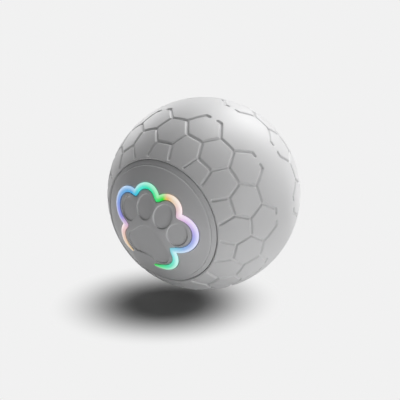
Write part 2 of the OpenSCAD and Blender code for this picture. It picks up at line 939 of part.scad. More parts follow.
module battery() {
  corner_r = 2;
  color("lightsteelblue") translate([0, core_mid_y, battery_z]) linear_extrude(battery_t)
    rounded([battery_w, battery_l], corner_r);
}

module rounded(size, r) {
  for (x = [-1, 1], y = [-1, 1]) translate([x * (size.x / 2 - r), y * (size.y / 2 - r)]) circle(r);
  square([size.x - 2 * r, size.y], center = true);
  square([size.x, size.y - 2 * r], center = true);
}

module battery_pad() {
  pad_inset = 1;
  color("khaki") translate([0, core_mid_y, battery_z - pad_t]) linear_extrude(pad_t)
    square([battery_w - 2 * pad_inset, battery_l - 2 * pad_inset], center = true);
}

module weight_screw_places() {
  for (side = [-1, 1], y = [-1, 1])
    translate([side * (wall_x + chassis_t), y * weight_bolt_y, weight_bolt_z])
      rotate([0, side * 90, 0]) children();
}

// Cradle that fills the bottom of the core, with a channel for the motor
module counterweight() {
  channel_x = motor_size.x / 2 + weight_gap;
  channel_z = pinion_z - motor_size.y / 2 - weight_gap;
  run = weight_y1 - weight_y0;
  color("darkgray") difference() {
    intersection() {
      sphere(core_r);
      block([-wall_x + fit_gap, weight_y0, -core_r], [2 * (wall_x - fit_gap), run, core_r + pinion_z]);
    }
    block([-channel_x, weight_y0 - skin, channel_z], [2 * channel_x, run + 2 * skin, core_r]);
    weight_screw_places() translate([0, 0, -weight_screw_l - screw_rest])
      cylinder(r = m2[0] + seat_gap, h = weight_screw_l + 2 * screw_rest);
  }
}

module counterweight_screws() {
  color(steel_colour) weight_screw_places() screw(m2, weight_screw_l);
}

// Main board

module board_hole_places() {
  for (x = [0, 1], y = [-1, 1]) mirror([x, 0, 0])
    translate([board_hole.x, core_mid_y + y * board_hole.y, board_z]) children();
}

module main_board() {
  color(board_colour) difference() {
    translate([0, core_mid_y, board_z]) linear_extrude(board_t)
      square([board_w, board_l], center = true);
    board_hole_places() translate([0, 0, -skin])
      cylinder(r = m16[0] + fit_gap, h = board_t + 2 * skin);
  }
}

module board_screws() {
  color(steel_colour) board_hole_places() translate([0, 0, board_t])
    screw(m16, board_t + ledge_h - screw_rest);
}

// Piece soldered on the main board, centred at a place of its own
module on_board(at, size) {
  translate([at.x - size.x / 2, core_mid_y + at.y - size.y / 2, board_z + board_t]) cube(size);
}

module control_chip() {
  color("black") on_board(chip_at, chip_size);
}

module motion_sensor() {
  color("darkslategray") on_board(sensor_at, sensor_size);
}

module lead_sockets() {
  hollow = socket_size - [2, 0, 2] * socket_wall;
  color("ivory") for (x = socket_x) difference() {
    on_board([x, socket_y], socket_size);
    translate([0, socket_wall, socket_wall]) on_board([x, socket_y], hollow);
  }
}

// Boards in the necks

module led_places(count, y) {
  for (i = [0 : count - 1]) rotate([0, (i + 0.5) * 360 / count, 0])
    translate([led_ring_r, y, 0]) children();
}

module front_led_board() {
  color(board_colour) turned() band(0, neck_board_r, front_board_y, front_board_y + neck_board_t);
}

module front_leds() {
  color("white") led_places(front_led_count, -front_board_y - neck_board_t - led.z)
    translate([-led.x / 2, 0, -led.y / 2]) cube([led.x, led.z, led.y]);
}

module mode_switch() {
  top_y = front_board_y + neck_board_t + switch_size.z;
  color("dimgray") difference() {
    slab(-top_y, -front_board_y - neck_board_t) square([switch_size.x, switch_size.y], center = true);
    rod(switch_stem[0] + run_gap, -top_y - skin, -switch_stem_y + press_travel + fit_gap);
  }
}

module switch_button() {
  color("black") rod(switch_stem[0], -switch_stem_y - switch_stem[1], -switch_stem_y);
}

module usb_outline(margin) {
  r = usb_size.y / 2 + margin;
  run = usb_size.x - usb_size.y;
  for (side = [-1, 1]) translate([side * run / 2, 0]) circle(r);
  square([run, 2 * r], center = true);
}

module rear_led_board() {
  color(board_colour) slab(rear_board_y, rear_board_y + neck_board_t) difference() {
    circle(neck_board_r);
    usb_outline(fit_gap);
  }
}

module rear_leds() {
  color("white") rotate([0, 0, 180]) led_places(rear_led_count, -rear_board_y - neck_board_t - led.z)
    translate([-led.x / 2, 0, -led.y / 2]) cube([led.x, led.z, led.y]);
}

module usb_socket() {
  shell_wall = 0.4;
  tongue = [6.6, 0.7];
  tongue_drop = 1;
  floor_t = 1.2;
  back_y = usb_y - usb_size.z;
  color(steel_colour) {
    slab(back_y, usb_y) difference() {
      usb_outline(0);
      usb_outline(-shell_wall);
    }
    slab(back_y, back_y + floor_t) usb_outline(0);
    slab(back_y, usb_y - tongue_drop) square(tongue, center = true);
  }
}

module port_cover() {
  color(shell_colour) difference() {
    slab(neck_y - cover_t, neck_y) difference() {
      circle(neck_board_r);
      usb_outline(fit_gap);
    }
    rotate([0, 0, 180]) led_places(rear_led_count, 0) rotate([90, 0, 0])
      cylinder(r = led.x / 2, h = ball_r);
  }
}

outer_sleeve();
front_shell();
rear_shell();
equator_seal();
front_bezel();
front_cap();
front_light_strip();
front_light_plate();
rear_bezel();
rear_cap();
rear_light_strip();
rear_light_plate();
door_seal();
front_bush();
rear_bush();
ring_gear();
ring_gear_screws();
chassis_frame();
front_plate();
front_plate_screws();
gear_motor();
motor_shaft();
motor_pinion();
motor_screws();
battery();
battery_pad();
counterweight();
counterweight_screws();
main_board();
board_screws();
control_chip();
motion_sensor();
lead_sockets();
front_led_board();
front_leds();
mode_switch();
switch_button();
rear_led_board();
rear_leds();
usb_socket();
port_cover();
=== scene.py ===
import json
import math
import bpy
import numpy as np
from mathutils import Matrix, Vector
from mathutils.geometry import delaunay_2d_cdt


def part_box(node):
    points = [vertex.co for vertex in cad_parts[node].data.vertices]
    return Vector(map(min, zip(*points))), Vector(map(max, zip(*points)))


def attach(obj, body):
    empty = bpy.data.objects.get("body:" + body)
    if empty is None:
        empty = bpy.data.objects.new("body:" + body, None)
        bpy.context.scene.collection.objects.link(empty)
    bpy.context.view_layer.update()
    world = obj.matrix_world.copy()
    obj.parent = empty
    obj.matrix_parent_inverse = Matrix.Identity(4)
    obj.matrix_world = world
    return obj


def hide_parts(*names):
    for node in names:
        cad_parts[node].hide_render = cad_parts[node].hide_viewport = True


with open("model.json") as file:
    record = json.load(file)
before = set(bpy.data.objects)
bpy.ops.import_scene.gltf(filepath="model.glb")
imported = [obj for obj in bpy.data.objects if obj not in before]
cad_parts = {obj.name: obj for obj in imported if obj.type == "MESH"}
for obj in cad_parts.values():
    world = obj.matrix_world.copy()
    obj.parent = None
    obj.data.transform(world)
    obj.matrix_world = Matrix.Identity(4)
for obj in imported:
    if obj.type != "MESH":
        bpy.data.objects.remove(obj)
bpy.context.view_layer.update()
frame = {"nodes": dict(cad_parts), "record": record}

nodes = frame["nodes"]
mm = 0.001
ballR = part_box("outer_sleeve")[1][2] / mm  # millimetres, as all sizes below
print("frame loaded with", len(nodes), "CAD nodes, ball radius", round(ballR, 3))


# Mesh tools

def splitNet(columns, rows, split, detail):
    # net that closes round its columns; cells marked in detail are cut into split x split
    width = columns * split

    def spot(i, j):
        return i % width + j * width

    faces = []
    for row in range(rows):
        for column in range(columns):
            i, j = column * split, row * split
            if detail[row, column]:
                for b in range(split):
                    for a in range(split):
                        faces.append([spot(i + a, j + b), spot(i + a + 1, j + b),
                                      spot(i + a + 1, j + b + 1), spot(i + a, j + b + 1)])
                continue
            steps = [1 if cut else split for cut in (  # a plain cell takes the points of a cut neighbour
                row > 0 and detail[row - 1, column],
                detail[row, (column + 1) % columns],
                row < rows - 1 and detail[row + 1, column],
                detail[row, column - 1])]
            faces.append([spot(i + a, j) for a in range(0, split, steps[0])]
                         + [spot(i + split, j + b) for b in range(0, split, steps[1])]
                         + [spot(i + split - a, j + split) for a in range(0, split, steps[2])]
                         + [spot(i, j + split - b) for b in range(0, split, steps[3])])
    used = sorted({point for face in faces for point in face})
    number = {point: k for k, point in enumerate(used)}
    used = np.array(used)
    return used % width, used // width, [[number[point] for point in face] for face in faces], number


def ringRows(first, rows, count):  # point numbers of closed rings that were laid down one after another
    return [[first + row * count + k for k in range(count)] for row in range(rows)]


def skinFaces(rings):  # quads between each closed ring and the next
    faces = []
    for first, second in zip(rings, rings[1:]):
        count = len(first)
        faces += [[first[k], first[(k + 1) % count], second[(k + 1) % count], second[k]] for k in range(count)]
    return faces


def signedVolume(points, faces):
    total = 0
    for face in faces:
        a = points[face[0]]
        for b, c in zip(face[1:-1], face[2:]):
            total += np.dot(a, np.cross(points[b], points[c]))
    return total / 6


def addPiece(name, points, faces, normals, material, body, node):
    points, normals = np.asarray(points, float), np.asarray(normals, float)
    if signedVolume(points, faces) < 0:
        faces = [face[::-1] for face in faces]
    mesh = bpy.data.meshes.new(name)
    mesh.from_pydata((points * mm).tolist(), [], faces)
    mesh.polygons.foreach_set("use_smooth", [True] * len(mesh.polygons))
    mesh.update()
    normals = normals / np.linalg.norm(normals, axis=1, keepdims=True)
    mesh.normals_split_custom_set_from_vertices(normals.tolist())
    piece = bpy.data.objects.new(name, mesh)
    bpy.context.scene.collection.objects.link(piece)
    mesh.materials.append(material)
    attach(piece, body)
    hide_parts(node)
    print("  piece", name, len(points), "points", len(faces), "faces")
    return piece


def smoothStep(t):
    t = np.clip(t, 0, 1)
    return t * t * (3 - 2 * t)


def turnedRows(profile, columns, place):
    # points and normals of a turned skin; profile rows are radius, height, normal out, normal up
    points, normals = [], []
    for radius, height, out, up in profile:
        for column in range(columns):
            angle = 2 * math.pi * column / columns
            points.append(place(radius, height, angle))
            normals.append(place(out, up, angle))
    return points, normals


def roundCorner(centre, radius, start, end, steps):  # arc of a profile with its normals, angles in degrees
    rows = []
    for k in range(steps + 1):
        angle = math.radians(start + (end - start) * k / steps)
        out, up = math.cos(angle), math.sin(angle)
        rows.append((centre[0] + radius * out, centre[1] + radius * up, out, up))
    return rows


# Shared surface effects, each a shader node group

def newGroup(name, inputs, output, outputKind="NodeSocketFloat"):
    group = bpy.data.node_groups.new(name, "ShaderNodeTree")
    for label, value in inputs.items():
        kind = "NodeSocketColor" if isinstance(value, tuple) else "NodeSocketFloat"
        socket = group.interface.new_socket(name=label, in_out="INPUT", socket_type=kind)
        socket.default_value = value
    group.interface.new_socket(name=output, in_out="OUTPUT", socket_type=outputKind)
    return group, group.nodes.new("NodeGroupInput"), group.nodes.new("NodeGroupOutput")


def addNode(tree, kind, values=None, **settings):
    node = tree.nodes.new(kind)
    for key, value in settings.items():
        setattr(node, key, value)
    for key, value in (values or {}).items():
        node.inputs[key].default_value = value
    return node


def makeFineGrain():  # height of a moulded or cast grain
    group, given, out = newGroup("fineGrain", {"Size": 900.0, "Sharp": 0.5}, "Height")
    link = group.links.new
    place = addNode(group, "ShaderNodeTexCoord")
    noise = addNode(group, "ShaderNodeTexNoise", {"Detail": 3.0, "Roughness": 0.55})
    cells = addNode(group, "ShaderNodeTexVoronoi", {"Randomness": 1.0}, feature="SMOOTH_F1")
    blend = addNode(group, "ShaderNodeMix", data_type="FLOAT")
    link(place.outputs["Object"], noise.inputs["Vector"])
    link(place.outputs["Object"], cells.inputs["Vector"])
    link(given.outputs["Size"], noise.inputs["Scale"])
    link(given.outputs["Size"], cells.inputs["Scale"])
    link(given.outputs["Sharp"], blend.inputs["Factor"])
    link(noise.outputs["Fac"], blend.inputs["A"])
    link(cells.outputs["Distance"], blend.inputs["B"])
    link(blend.outputs["Result"], out.inputs["Height"])
    return group


def makeHandledTone():  # slow drift between two colours of one surface
    group, given, out = newGroup("handledTone", {
        "Colour": (0.8, 0.8, 0.8, 1), "Second": (0.7, 0.7, 0.7, 1), "Size": 40.0, "Amount": 0.3},
        "Colour", "NodeSocketColor")
    link = group.links.new
    place = addNode(group, "ShaderNodeTexCoord")
    noise = addNode(group, "ShaderNodeTexNoise", {"Detail": 4.0, "Roughness": 0.6})
    level = addNode(group, "ShaderNodeMapRange", {"From Min": 0.35, "From Max": 0.7})
    share = addNode(group, "ShaderNodeMath", operation="MULTIPLY")
    blend = addNode(group, "ShaderNodeMix", data_type="RGBA")
    link(place.outputs["Object"], noise.inputs["Vector"])
    link(given.outputs["Size"], noise.inputs["Scale"])
    link(noise.outputs["Fac"], level.inputs["Value"])
    link(level.outputs["Result"], share.inputs[0])
    link(given.outputs["Amount"], share.inputs[1])
    link(share.outputs["Value"], blend.inputs["Factor"])
    link(given.outputs["Colour"], blend.inputs["A"])
    link(given.outputs["Second"], blend.inputs["B"])
    link(blend.outputs["Result"], out.inputs["Colour"])
    return group


def makeRoughDrift():  # roughness that wanders round a middle value
    group, given, out = newGroup("roughDrift", {"Middle": 0.5, "Spread": 0.1, "Size": 60.0}, "Roughness")
    link = group.links.new
    place = addNode(group, "ShaderNodeTexCoord")
    noise = addNode(group, "ShaderNodeTexNoise", {"Detail": 5.0, "Roughness": 0.65})
    centred = addNode(group, "ShaderNodeMath", {1: 0.5}, operation="SUBTRACT")
    scaled = addNode(group, "ShaderNodeMath", operation="MULTIPLY")
    total = addNode(group, "ShaderNodeMath", operation="ADD", use_clamp=True)
    link(place.outputs["Object"], noise.inputs["Vector"])
    link(given.outputs["Size"], noise.inputs["Scale"])
    link(noise.outputs["Fac"], centred.inputs[0])
    link(centred.outputs["Value"], scaled.inputs[0])
    link(given.outputs["Spread"], scaled.inputs[1])
    link(scaled.outputs["Value"], total.inputs[0])
    link(given.outputs["Middle"], total.inputs[1])
    link(total.outputs["Value"], out.inputs["Roughness"])
    return group


def makeDrawnLines():  # height of the lines that rolling or drawing leaves in metal, along Y
    group, given, out = newGroup("drawnLines", {"Size": 700.0, "Stretch": 0.04}, "Height")
    link = group.links.new
    place = addNode(group, "ShaderNodeTexCoord")
    parts = addNode(group, "ShaderNodeSeparateXYZ")
    squeeze = addNode(group, "ShaderNodeMath", operation="MULTIPLY")
    joined = addNode(group, "ShaderNodeCombineXYZ")
    noise = addNode(group, "ShaderNodeTexNoise", {"Detail": 2.0, "Roughness": 0.5})
    link(place.outputs["Object"], parts.inputs["Vector"])
    link(parts.outputs["Y"], squeeze.inputs[0])
    link(given.outputs["Stretch"], squeeze.inputs[1])
    link(parts.outputs["X"], joined.inputs["X"])
    link(squeeze.outputs["Value"], joined.inputs["Y"])
    link(parts.outputs["Z"], joined.inputs["Z"])
    link(joined.outputs["Vector"], noise.inputs["Vector"])
    link(given.outputs["Size"], noise.inputs["Scale"])
    link(noise.outputs["Fac"], out.inputs["Height"])
    return group


effects = {"fineGrain": makeFineGrain(), "handledTone": makeHandledTone(),
           "roughDrift": makeRoughDrift(), "drawnLines": makeDrawnLines()}
print("node groups:", ", ".join(effects))


# Materials

finishes = {
    # two colours, size and amount of the drift between them, roughness and its spread, size of the grain
    # or of the drawn lines and their height in mm, sharpness of the grain; where needed also metal,
    # specular level, weight and roughness of a sheen, and the size of the roughness drift
    "sleeve_silicone": {"colour": (0.78, 0.78, 0.785), "second": (0.70, 0.70, 0.71), "drift": (55, 0.25),
                        "rough": (0.51, 0.14), "grain": (2600, 0.010), "sharp": 0.25,
                        "specular": 0.75, "sheen": (0.5, 0.45)},
    "cap_plastic": {"colour": (0.77, 0.77, 0.78), "second": (0.70, 0.70, 0.71), "drift": (70, 0.25),
                    "rough": (0.38, 0.12), "grain": (3200, 0.006), "sharp": 0.2, "specular": 0.2},
    "shell_plastic": {"colour": (0.86, 0.86, 0.84), "second": (0.78, 0.77, 0.74), "drift": (45, 0.3),
                      "rough": (0.42, 0.15), "grain": (1800, 0.010), "sharp": 0.4},
    "seal_rubber": {"colour": (0.022, 0.022, 0.023), "second": (0.05, 0.05, 0.05), "drift": (160, 0.5),
                    "rough": (0.72, 0.2), "grain": (2400, 0.02), "sharp": 0.6},
    "bush_plastic": {"colour": (0.86, 0.83, 0.74), "second": (0.78, 0.74, 0.63), "drift": (90, 0.4),
                     "rough": (0.4, 0.16), "grain": (1500, 0.008), "sharp": 0.3},
    "gear_plastic": {"colour": (0.9, 0.9, 0.87), "second": (0.82, 0.81, 0.75), "drift": (80, 0.35),
                     "rough": (0.36, 0.15), "grain": (1700, 0.008), "sharp": 0.3},
    "chassis_plastic": {"colour": (0.085, 0.095, 0.115), "second": (0.12, 0.13, 0.15), "drift": (65, 0.5),
                        "rough": (0.55, 0.2), "grain": (1300, 0.02), "sharp": 0.55},
    "cell_wrap": {"colour": (0.30, 0.40, 0.54), "second": (0.38, 0.48, 0.62), "drift": (70, 0.5),
                  "rough": (0.26, 0.18), "grain": (260, 0.02), "sharp": 0.2},
    "pad_foam": {"colour": (0.62, 0.52, 0.25), "second": (0.52, 0.42, 0.19), "drift": (240, 0.6),
                 "rough": (0.9, 0.1), "grain": (1100, 0.06), "sharp": 0.85},
    "weight_iron": {"colour": (0.15, 0.15, 0.155), "second": (0.21, 0.19, 0.175), "drift": (120, 0.7),
                    "rough": (0.55, 0.3), "grain": (700, 0.05), "sharp": 0.7, "metal": 1.0},
    "board_laminate": {"colour": (0.012, 0.12, 0.05), "second": (0.02, 0.17, 0.075), "drift": (300, 0.6),
                       "rough": (0.3, 0.14), "grain": (2000, 0.008), "sharp": 0.5},
    "chip_resin": {"colour": (0.012, 0.012, 0.013), "second": (0.03, 0.03, 0.03), "drift": (400, 0.5),
                   "rough": (0.5, 0.2), "grain": (3000, 0.01), "sharp": 0.6},
    "led_lens": {"colour": (0.88, 0.87, 0.78), "second": (0.9, 0.84, 0.6), "drift": (500, 0.5),
                 "rough": (0.18, 0.1), "grain": (1200, 0.004), "sharp": 0.2},
    "screw_steel": {"colour": (0.62, 0.62, 0.63), "second": (0.45, 0.44, 0.43), "drift": (420, 0.6),
                    "rough": (0.3, 0.2), "lines": (1800, 0.006), "metal": 1.0},
    "motor_steel": {"colour": (0.58, 0.58, 0.58), "second": (0.47, 0.46, 0.45), "drift": (140, 0.5),
                    "rough": (0.33, 0.2), "lines": (1500, 0.008), "metal": 1.0},
    "light_guide": {"colour": (0.80, 0.86, 0.92), "second": (0.86, 0.82, 0.9), "drift": (60, 0.5),
                    "rough": (0.3, 0.12), "roughSize": 200, "grain": (1500, 0.006), "sharp": 0.3},
}
roughFiner = 3  # the roughness drift is this much finer than the colour drift


def placeEffect(tree, name, values):
    node = tree.nodes.new("ShaderNodeGroup")
    node.node_tree = effects[name]
    for key, value in values.items():
        node.inputs[key].default_value = value
    return node


def newMaterial(name):
    material = bpy.data.materials.new(name)
    material.use_nodes = True
    tree = material.node_tree
    return material, tree, tree.nodes["Principled BSDF"]


def addBump(tree, shader, height, distance):
    bump = addNode(tree, "ShaderNodeBump", {"Strength": 1.0, "Distance": distance * mm})
    tree.links.new(height, bump.inputs["Height"])
    tree.links.new(bump.outputs["Normal"], shader.inputs["Normal"])


def makeFinish(slot):
    look = finishes[slot]
    material, tree, shader = newMaterial(slot)
    link = tree.links.new
    tone = placeEffect(tree, "handledTone", {
        "Colour": (*look["colour"], 1), "Second": (*look["second"], 1),
        "Size": look["drift"][0], "Amount": look["drift"][1]})
    rough = placeEffect(tree, "roughDrift", {
        "Middle": look["rough"][0], "Spread": look["rough"][1],
        "Size": look.get("roughSize", look["drift"][0] * roughFiner)})
    link(tone.outputs["Colour"], shader.inputs["Base Color"])
    link(rough.outputs["Roughness"], shader.inputs["Roughness"])
    shader.inputs["Metallic"].default_value = look.get("metal", 0.0)
    shader.inputs["Specular IOR Level"].default_value = look.get("specular", 0.5)
    if "sheen" in look:
        shader.inputs["Sheen Weight"].default_value = look["sheen"][0]
        shader.inputs["Sheen Roughness"].default_value = look["sheen"][1]
    if "lines" in look:
        lines = placeEffect(tree, "drawnLines", {"Size": look["lines"][0]})
        addBump(tree, shader, lines.outputs["Height"], look["lines"][1])
    else:
        grain = placeEffect(tree, "fineGrain", {"Size": look["grain"][0], "Sharp": look["sharp"]})
        addBump(tree, shader, grain.outputs["Height"], look["grain"][1])
    return material


materials = {slot: makeFinish(slot) for slot in finishes}

lightStrip = {
    "width": 2.2, "rise": 0.6, "sides": 12,  # bead, and the cuts of its round back
    "sink": 0.9,  # how far the foot reaches down the channel, as a share of its depth
    "tipShare": 0.4, "tipLength": 5.0, "tipRound": 0.55, "tipLeast": 0.02,  # the bead narrows to round tips
    "glow": 0.78, "body": 0.35,  # emission strength, and how strongly it shows the light that falls on it
    "foot": 0.3, "footClimb": 3.0,  # glow at the foot, and how fast it climbs with the rise
    "inside": (1.35, 0.86), "outside": (0.72, 1.06),  # saturation and value of the two flanks: the inner one darker as painted shade, the outer one paler as a painted highlight
    "flanks": (-0.75, 0.85),  # where they start and end across the bead
    "rough": (0.28, 0.1, 300), "grain": (1800, 0.2, 0.004),  # middle, spread, size; size, sharpness, height
    "hues": {"amber": (0.95, 0.55, 0.17), "cream": (0.97, 0.78, 0.56), "blush": (0.98, 0.72, 0.76),
             "orchid": (0.86, 0.62, 0.95), "iris": (0.50, 0.48, 0.96), "ice": (0.38, 0.60, 0.94),
             "sky": (0.17, 0.50, 0.88), "aqua": (0.27, 0.93, 0.86), "mint": (0.16, 0.93, 0.56),
             "leaf": (0.12, 0.88, 0.14)},
    "runs": [  # the hues run round twice from the heel's left tip: share of white, then each hue's place
        (0.06, {"cream": 0.02, "blush": 0.125, "iris": 0.17, "ice": 0.27, "sky": 0.34,
                "aqua": 0.38, "mint": 0.44, "leaf": 0.506}),
        (0.2, {"amber": 0.524, "cream": 0.55, "blush": 0.595, "orchid": 0.64, "iris": 0.71, "ice": 0.79,
               "aqua": 0.865, "mint": 0.93, "leaf": 1.0}),
    ],
}


def stripColours():  # place and colour of every stop along the strip
    return [(place, [c + (1 - c) * white for c in lightStrip["hues"][hue]])
            for white, run in lightStrip["runs"] for hue, place in run.items()]


def makeGlow():
    material, tree, shader = newMaterial("light_guide_glow")
    link = tree.links.new
    along = addNode(tree, "ShaderNodeAttribute", attribute_name="along")
    ramp = addNode(tree, "ShaderNodeValToRGB")
    stops = ramp.color_ramp.elements
    colours = stripColours()
    while len(stops) < len(colours):
        stops.new(0.5)
    for stop, (place, colour) in zip(stops, colours):
        stop.position = place
        stop.color = (*colour, 1)
    middle, spread, driftSize = lightStrip["rough"]
    rough = placeEffect(tree, "roughDrift", {"Middle": middle, "Spread": spread, "Size": driftSize})
    grainSize, sharp, grainHeight = lightStrip["grain"]
    grain = placeEffect(tree, "fineGrain", {"Size": grainSize, "Sharp": sharp})
    across = addNode(tree, "ShaderNodeAttribute", attribute_name="across")
    flankStart, flankEnd = lightStrip["flanks"]
    flank = addNode(tree, "ShaderNodeMapRange", {"From Min": flankStart, "From Max": flankEnd},
                    interpolation_type="SMOOTHSTEP")
    # the bead's inner flank is painted darker and its outer flank paler, shade and highlight painted into the
    # glow and the base colour
    paintedShadeFlank, pale = [addNode(tree, "ShaderNodeHueSaturation", {"Saturation": s, "Value": v})
                  for s, v in (lightStrip["inside"], lightStrip["outside"])]
    blend = addNode(tree, "ShaderNodeMix", data_type="RGBA")
    shine = addNode(tree, "ShaderNodeAttribute", attribute_name="shine")
    lit = addNode(tree, "ShaderNodeVectorMath", operation="SCALE")
    dimmed = addNode(tree, "ShaderNodeVectorMath", {"Scale": lightStrip["body"]}, operation="SCALE")
    link(along.outputs["Fac"], ramp.inputs["Fac"])
    link(across.outputs["Fac"], flank.inputs["Value"])
    link(flank.outputs["Result"], blend.inputs["Factor"])
    for side, socket in ((paintedShadeFlank, "A"), (pale, "B")):
        link(ramp.outputs["Color"], side.inputs["Color"])
        link(side.outputs["Color"], blend.inputs[socket])
    link(blend.outputs["Result"], lit.inputs[0])
    link(shine.outputs["Fac"], lit.inputs["Scale"])
    link(blend.outputs["Result"], dimmed.inputs[0])
    link(dimmed.outputs["Vector"], shader.inputs["Base Color"])
    link(lit.outputs["Vector"], shader.inputs["Emission Color"])
    link(rough.outputs["Roughness"], shader.inputs["Roughness"])
    addBump(tree, shader, grain.outputs["Height"], grainHeight)
    shader.inputs["Emission Strength"].default_value = lightStrip["glow"]
    return material


glow = makeGlow()
for part in frame["record"]["subparts"]:  # every CAD node takes its slot's finish
    mesh = nodes[part["node"]].data
    mesh.materials.clear()
    mesh.materials.append(materials[part["material_slot"]])
print("materials:", len(materials) + 1)


# Sleeve with the honeycomb grooves

sleeve = {
    "columns": 216, "rows": 58, "split": 4,  # cells round the axle, between the mouths, cuts of a grooved cell
    "wall": 1.6, "mouth": 24.8, "edge": 0.45,  # wall, radius of the mouths, roundness of their edges
    "side": 7.0, "count": 10, "band": 28.0, "phase": -4.4,  # hexagons: side, number, angle of the band, turn
    "width": 1.6, "floor": 0.2, "depth": 0.72,  # groove from shoulder to shoulder, its floor, its depth
    "stub": 6.2, "hook": 1.7,  # open groove ends beside the cap and beside the equator
    "margin": 0.7,  # cells whose middle is within this many cells of a shoulder are cut too
    "probe": 0.03,  # distance over which a slope is read
    "edgeRows": 6, "innerRows": 14,  # rows of a mouth's edge and of the lining
}


def onBall(up, turn):  # unit vector from angles above the equator, towards the front, and round the axle
    up, turn = np.radians(up), np.radians(turn)
    return np.stack([np.cos(up) * np.sin(turn), -np.sin(up), np.cos(up) * np.cos(turn)], -1)


def grooveLines():  # great-circle pieces of one front column and its neighbours
    hexAngle = math.degrees(sleeve["side"] / ballR)
    rowStep = hexAngle * math.sin(math.radians(60))
    pitch = 360 / sleeve["count"]

    def corner(row, column, side):
        up = sleeve["band"] - row * rowStep
        halfFlat = hexAngle / 2 / math.cos(math.radians(up))
        shift = 0.5 if row % 2 == 0 else 0
        return onBall(up, sleeve["phase"] + pitch * (column + shift) + side * halfFlat)

    def towards(a, b, length):
        across = b - a * np.dot(a, b)
        angle = length / ballR
        return a * math.cos(angle) + across / np.linalg.norm(across) * math.sin(angle)

    lines = []
    for column in range(-2, 3):
        for row in (-1, 0, 1):
            lines.append((corner(row, column, -1), corner(row, column, 1)))
        for side in (-1, 1):
            beside = column if side < 0 else column + 1
            back = column - 1 if side < 0 else column
            for row in (-1, 1):
                lines.append((corner(0, column, side), corner(row, beside, -side)))
            start = corner(-1, column, side)
            lines.append((start, towards(start, corner(-2, back, -side), sleeve["stub"])))
            lines.append((corner(1, column, side), corner(2, back, -side)))
            start = corner(2, column, side)
            lines.append((start, towards(start, corner(2, column, -side), sleeve["hook"])))
    return lines


grooves = grooveLines()


def grooveDistance(directions):  # millimetres from the middle of the nearest groove
    pitch = 360 / sleeve["count"]
    up = np.degrees(np.arcsin(np.abs(directions[:, 1])))  # the far band mirrors the near one
    turn = np.degrees(np.arctan2(directions[:, 0], directions[:, 2])) - sleeve["phase"]
    folded = onBall(up, (turn + pitch / 2) % pitch - pitch / 2 + sleeve["phase"])
    nearest = np.full(len(folded), np.inf)
    for a, b in grooves:
        pole = np.cross(a, b)
        pole /= np.linalg.norm(pole)
        between = (folded @ np.cross(pole, a) > 0) & (folded @ np.cross(b, pole) > 0)
        beside = np.abs(np.arcsin(np.clip(folded @ pole, -1, 1)))
        ends = np.arccos(np.clip(np.maximum(folded @ a, folded @ b), -1, 1))
        nearest = np.minimum(nearest, np.where(between, beside, ends))
    return nearest * ballR


def grooveHeight(directions):
    reach = (grooveDistance(directions) - sleeve["floor"] / 2) / ((sleeve["width"] - sleeve["floor"]) / 2)
    return -sleeve["depth"] * (1 - smoothStep(reach))


def makeSleeve():
    columns, rows, split = sleeve["columns"], sleeve["rows"], sleeve["split"]
    edge, mouth, inner = sleeve["edge"], sleeve["mouth"], ballR - sleeve["wall"]
    bend = math.sqrt((ballR - edge) ** 2 - (mouth + edge) ** 2)  # height of the mouth's rounded edge
    top = math.degrees(math.atan2(bend, mouth + edge))
    cell = 2 * top / rows
    middles = onBall(*np.meshgrid(-top + cell * (np.arange(rows) + 0.5),
                                  (np.arange(columns) + 0.5) * 360 / columns, indexing="ij"))
    reach = sleeve["width"] / 2 + sleeve["margin"] * ballR * math.radians(cell)
    detail = (grooveDistance(middles.reshape(-1, 3)) < reach).reshape(rows, columns)
    i, j, faces, number = splitNet(columns, rows, split, detail)
    directions = onBall(-top + cell * j / split, 360 * i / (columns * split))
    height = grooveHeight(directions)
    normals = directions.copy()
    near = np.where(grooveDistance(directions) < sleeve["width"])[0]
    step = sleeve["probe"]
    spots = directions[near]
    east = np.stack([spots[:, 2], np.zeros(len(near)), -spots[:, 0]], 1)
    east /= np.linalg.norm(east, axis=1, keepdims=True)
    for way in (east, np.cross(spots, east)):
        ahead = spots + way * step / ballR
        behind = spots - way * step / ballR
        ahead /= np.linalg.norm(ahead, axis=1, keepdims=True)
        behind /= np.linalg.norm(behind, axis=1, keepdims=True)
        slope = (grooveHeight(ahead) - grooveHeight(behind)) / (2 * step)
        normals[near] -= way * slope[:, None]
    points = directions * (ballR + height)[:, None]

    def place(radius, up, angle):
        return (radius * math.sin(angle), -up, radius * math.cos(angle))

    wallEnd = math.sqrt(inner ** 2 - mouth ** 2)
    half = roundCorner((mouth + edge, bend), edge, top, 180, sleeve["edgeRows"])[1:] + [(mouth, wallEnd, -1, 0)]
    innerTop = math.degrees(math.asin(wallEnd / inner))
    lining = roundCorner((0, 0), inner, innerTop, -innerTop, sleeve["innerRows"])[1:-1]
    profile = half + [(r, h, -out, -up) for r, h, out, up in lining]
    profile += [(r, -h, out, -up) for r, h, out, up in half[::-1]]
    extra, extraNormals = turnedRows(profile, columns, place)
    rings = [[number[column * split + rows * split * columns * split] for column in range(columns)]]
    rings += ringRows(len(points), len(profile), columns)
    rings.append([number[column * split] for column in range(columns)])
    faces += skinFaces(rings)
    return addPiece("sleeve", np.vstack([points, extra]), faces, np.vstack([normals, extraNormals]),
                    materials["sleeve_silicone"], "shell", "outer_sleeve")


makeSleeve()
print("sleeve done")


# Paw of the caps: the strip's middle line and the sunk toes and pad, on the cap's flat face

